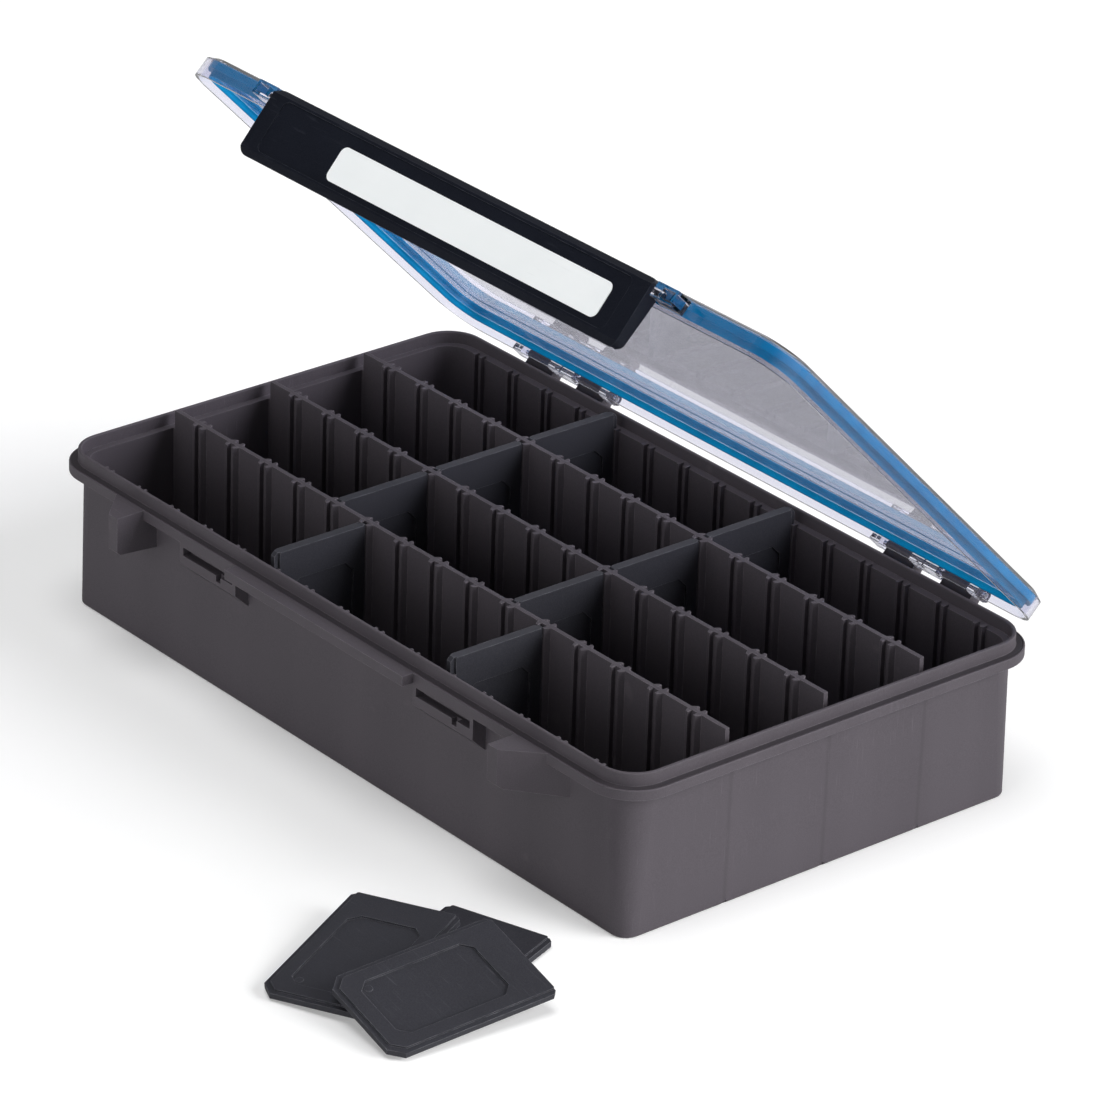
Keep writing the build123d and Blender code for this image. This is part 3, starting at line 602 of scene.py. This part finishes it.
def seal_tree(material):
    """Sweeps the base outline round a rectangle with rounded corners."""
    sizes = [("Length", FLOAT, 0.3), ("Width", FLOAT, 0.2), ("Corner", FLOAT, 0.01)]
    tree, start, end = sized_tree("seal_sweep", [*sizes, ("Corner Steps", COUNT, 10)])
    given = start.outputs
    sockets = {"Width": given["Length"], "Height": given["Width"]}
    frame_line = place(tree, "GeometryNodeCurvePrimitiveQuadrilateral", sockets).outputs[0]
    sockets = {"Curve": frame_line, "Radius": given["Corner"], "Count": given["Corner Steps"]}
    rounded = place(tree, "GeometryNodeFilletCurve", sockets, mode="POLY").outputs[0]
    sockets = {"Curve": rounded}
    upright = place(tree, "GeometryNodeSetCurveNormal", sockets, mode="Z_UP").outputs[0]
    section = place(tree, "GeometryNodeMeshToCurve", {"Mesh": given[0]}).outputs[0]
    sockets = {"Curve": upright, "Profile Curve": section}
    swept = place(tree, "GeometryNodeCurveToMesh", sockets).outputs[0]
    finish_tree(tree, end, swept, material)
    return tree


def fit_seal(material):
    length, width, corner = (size * MM for size in SEAL_PATH)
    points = [(out * MM, -up * MM) for out, up in reversed(SEAL_SECTION)]
    section = outline_mesh("seal_section", points)
    y, z = (value * MM for value in HINGE_LINE)
    about = Matrix.Translation((0, y, z))
    turn = about @ Matrix.Rotation(-LID_OPENED, 4, "X") @ about.inverted()
    sizes = {
        "Length": length,
        "Width": width,
        "Corner": corner,
        "Corner Steps": SEAL_CORNER_STEPS,
    }
    seal = grow("seal_band", section, seal_tree(material), sizes, turn)
    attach(seal, "lid")
    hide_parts("lid_seal")


# Partition ribs
STATION_PITCH = 21.7 * MM
STATIONS = 15
CHANNEL_HALF = 1.45 * MM
RIB_THICKNESS = 1.2 * MM
RIB_REACH = 2.1 * MM
RIB_FLARE = 1.3 * MM
PARTITION_HALF = 0.95 * MM
PARTITION_END_GAP = 1.1 * MM
FLANGE_TOP = 64.1 * MM
RIB_EDGE = 0.12 * MM


def rib_pair(floor, top):
    """The two ribs that hold a divider's edge, crossing the partition, with softened edges."""
    shape = bmesh.new()
    for side in (-1, 1):
        plan = [
            (0, -PARTITION_HALF - RIB_REACH),
            (RIB_THICKNESS, -PARTITION_HALF - RIB_REACH),
            (RIB_THICKNESS + RIB_FLARE, -PARTITION_HALF),
            (RIB_THICKNESS + RIB_FLARE, PARTITION_HALF),
            (RIB_THICKNESS, PARTITION_HALF + RIB_REACH),
            (0, PARTITION_HALF + RIB_REACH),
        ]
        ring = [shape.verts.new((side * (CHANNEL_HALF + out), y, floor)) for out, y in plan]
        foot = shape.faces.new(ring)
        lifted = bmesh.ops.extrude_face_region(shape, geom=[foot])["geom"]
        moved = [v for v in lifted if isinstance(v, bmesh.types.BMVert)]
        bmesh.ops.translate(shape, vec=(0, 0, top - floor), verts=moved)
    edges = shape.edges[:]
    bmesh.ops.bevel(shape, geom=edges, offset=RIB_EDGE, segments=1, affect="EDGES")
    bmesh.ops.recalc_face_normals(shape, faces=shape.faces[:])
    mesh = bpy.data.meshes.new("rib_pair")
    shape.to_mesh(mesh)
    shape.free()
    return mesh


def box_node(tree, size, middle):
    cube = place(tree, "GeometryNodeMeshCube", {"Size": size}).outputs[0]
    sockets = {"Geometry": cube, "Translation": middle}
    return place(tree, "GeometryNodeTransform", sockets).outputs[0]


def joined(tree, *shapes):
    node = place(tree, "GeometryNodeJoinGeometry")
    for shape in reversed(shapes):
        tree.links.new(shape, node.inputs[0])
    return node.outputs[0]


def combined(tree, x, y, z):
    return place(tree, "ShaderNodeCombineXYZ", {0: x, 1: y, 2: z}).outputs[0]


def halfway(tree, high, low, sign="ADD"):
    """Half the sum of two values, or half their difference."""
    return calculate(tree, "MULTIPLY", calculate(tree, sign, high, low), 0.5)


def partition_tree(material):
    """Stands the base rib pair at every station of a thin plate with low shoulders at its ends."""
    names = ("Length", "Thickness", "Floor", "Top", "Shoulder", "End Gap", "Pitch")
    sizes = [(label, FLOAT, 0.01) for label in names] + [("Stations", COUNT, STATIONS)]
    tree, start, end = sized_tree("ribbed_partition", sizes)
    length, thick, floor, top, shoulder, gap, pitch = (start.outputs[label] for label in names)
    low_size = combined(tree, gap, thick, calculate(tree, "SUBTRACT", shoulder, floor))
    low_middle = halfway(tree, shoulder, floor)
    end_middle = halfway(tree, length, gap, "SUBTRACT")
    tall_length = calculate(tree, "MULTIPLY_ADD", gap, -2.0, length)
    tall_size = combined(tree, tall_length, thick, calculate(tree, "SUBTRACT", top, floor))
    tall_middle = halfway(tree, top, floor)
    plates = [box_node(tree, tall_size, combined(tree, 0.0, 0.0, tall_middle))]
    for side in (-1.0, 1.0):
        x = calculate(tree, "MULTIPLY", end_middle, side)
        plates.append(box_node(tree, low_size, combined(tree, x, 0.0, low_middle)))
    steps = calculate(tree, "SUBTRACT", start.outputs["Stations"], 1.0)
    first = product(tree, steps, pitch, -0.5)
    sockets = {
        "Count": start.outputs["Stations"],
        "Start Location": combined(tree, first, 0.0, 0.0),
        "Offset": combined(tree, pitch, 0.0, 0.0),
    }
    stations = place(tree, "GeometryNodeMeshLine", sockets).outputs[0]
    sockets = {"Points": stations, "Instance": start.outputs[0]}
    ribs = place(tree, "GeometryNodeInstanceOnPoints", sockets).outputs[0]
    finish_tree(tree, end, joined(tree, *plates, ribs), material)
    return tree


def fit_partitions(material):
    tree = partition_tree(material)
    for line in ("front", "middle", "rear"):
        node = "partition_" + line
        low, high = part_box(node)
        sizes = {
            "Length": high[0] - low[0],
            "Thickness": 2 * PARTITION_HALF,
            "Floor": low[2],
            "Top": high[2],
            "Shoulder": FLANGE_TOP,
            "End Gap": PARTITION_END_GAP,
            "Pitch": STATION_PITCH,
            "Stations": STATIONS,
        }
        place_of = Matrix.Translation((0, (low[1] + high[1]) / 2, 0))
        ribs = rib_pair(low[2], high[2] - RIB_EDGE)
        piece = grow("ribbed_partition_" + line, ribs, tree, sizes, place_of)
        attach(piece, "base")
        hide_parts(node)


def camera_axes():
    """The photograph's rightward, upward and forward directions."""
    right = Vector((math.cos(CAMERA_AZIMUTH), math.sin(CAMERA_AZIMUTH), 0))
    level = Vector((-math.sin(CAMERA_AZIMUTH), math.cos(CAMERA_AZIMUTH), 0))
    forward = level * math.cos(CAMERA_ELEVATION) - Vector((0, 0, math.sin(CAMERA_ELEVATION)))
    up = right.cross(forward)
    side = right * math.cos(CAMERA_ROLL) + up * math.sin(CAMERA_ROLL)
    top = up * math.cos(CAMERA_ROLL) - right * math.sin(CAMERA_ROLL)
    return side, top, forward


def place_camera():
    side, top, forward = camera_axes()
    lens = bpy.data.cameras.new("photo_camera")
    lens.sensor_width = SENSOR_WIDTH
    lens.lens = SENSOR_WIDTH * FOCAL_PIXELS / PHOTO_PIXELS
    lens.clip_end = CAMERA_REACH
    camera = add_object("photo_camera", lens)
    turned = Matrix((side, top, -forward)).transposed().to_4x4()
    camera.matrix_world = Matrix.Translation(CAMERA_TARGET - forward * CAMERA_DISTANCE) @ turned
    bpy.context.scene.camera = camera


def place_softboxes():
    """Three wide lamps, hidden from gloss and from rays through clear plastic."""
    for name, (strength, softness, source) in SOFTBOXES.items():
        lamp = bpy.data.lights.new(name, "SUN")
        lamp.energy = strength
        lamp.angle = softness
        box = add_object(name, lamp)
        box.visible_glossy = False
        box.visible_transmission = False
        box.matrix_world = source.to_track_quat("Z", "Y").to_matrix().to_4x4()


def light_room():
    """Room light from low down, and a white background where camera, gloss and glass look."""
    world = bpy.data.worlds.new("white_studio")
    bpy.context.scene.world = world
    world.use_nodes = True
    tree = world.node_tree
    tree.nodes.clear()
    path = place(tree, "ShaderNodeLightPath").outputs
    way = place(tree, "ShaderNodeTexCoord").outputs["Generated"]
    height = place(tree, "ShaderNodeSeparateXYZ", {0: way}).outputs["Z"]
    bright_way = Vector(GLOSS_BRIGHT_WAY).normalized()
    lit_side = vector_calculate(tree, "DOT_PRODUCT", way, bright_way, result="Value")
    gloss_level = stretch(tree, lit_side, *GLOSS_SPAN, GLOSS_DARK, 1.0)
    in_gloss = calculate(tree, "MULTIPLY", path["Is Glossy Ray"], gloss_level)
    glass_level = stretch(tree, height, *GLASS_SPAN, 1.0, GLASS_DARK)
    in_glass = calculate(tree, "MULTIPLY", path["Is Transmission Ray"], glass_level)
    level = calculate(tree, "MAXIMUM", in_gloss, in_glass)
    level = calculate(tree, "MAXIMUM", path["Is Camera Ray"], level)
    seen = calculate(tree, "MAXIMUM", path["Is Glossy Ray"], path["Is Transmission Ray"])
    seen = calculate(tree, "MAXIMUM", path["Is Camera Ray"], seen)
    strength = stretch(tree, height, *ROOM_RISE, ROOM_LOW, ROOM_TOP)
    room = place(tree, "ShaderNodeBackground", {"Color": ROOM_COLOUR, "Strength": strength})
    white = place(tree, "ShaderNodeBackground", {"Color": WHITE, "Strength": level})
    sockets = {0: seen, 1: room.outputs[0], 2: white.outputs[0]}
    mixed = place(tree, "ShaderNodeMixShader", sockets).outputs[0]
    place(tree, "ShaderNodeOutputWorld", {"Surface": mixed})


def floor_finish():
    """Matte white sweep that shows the object's shadow and clears to white around it."""
    material, tree, shader, where = new_material("white_sweep")
    soft = noise(tree, where, FLOOR_PATCH_SCALE, detail=3.0)
    path = place(tree, "ShaderNodeLightPath").outputs
    seen = calculate(tree, "MAXIMUM", path["Is Camera Ray"], path["Is Transmission Ray"])
    unseen = stretch(tree, path["Is Glossy Ray"], 0.0, 1.0, FLOOR_PAINT, FLOOR_GLOSS)
    level = stretch(tree, seen, 0.0, 1.0, unseen, FLOOR_SEEN)
    sockets = {0: blend_colours(tree, soft, *FLOOR_TONES), "Scale": level}
    paint = place(tree, "ShaderNodeVectorMath", sockets, operation="SCALE").outputs[0]
    sockets = {
        "Base Color": paint,
        "Roughness": stretch(tree, soft, 0.0, 1.0, *FLOOR_ROUGHNESS),
        "Specular IOR Level": FLOOR_SPECULAR,
    }
    feed(tree, shader, sockets)
    lift = calculate(tree, "MULTIPLY", seen, FLOOR_LIFT)
    glow = place(tree, "ShaderNodeEmission", {"Color": WHITE, "Strength": lift})
    sockets = {0: shader.outputs[0], 1: glow.outputs[0]}
    resurface(tree, place(tree, "ShaderNodeAddShader", sockets))
    return material


def lay_floor():
    half = FLOOR_SIZE / 2
    mesh = bpy.data.meshes.new("studio_floor")
    corners = [(-half, -half), (half, -half), (half, half), (-half, half)]
    mesh.from_pydata([(x, y, -FLOOR_GAP) for x, y in corners], [], [(0, 1, 2, 3)])
    floor = add_object("studio_floor", mesh)
    mesh.materials.append(floor_finish())


dress_nodes()
place_camera()
place_softboxes()
light_room()
lay_floor()
bpy.context.scene.view_settings.view_transform = "Standard"
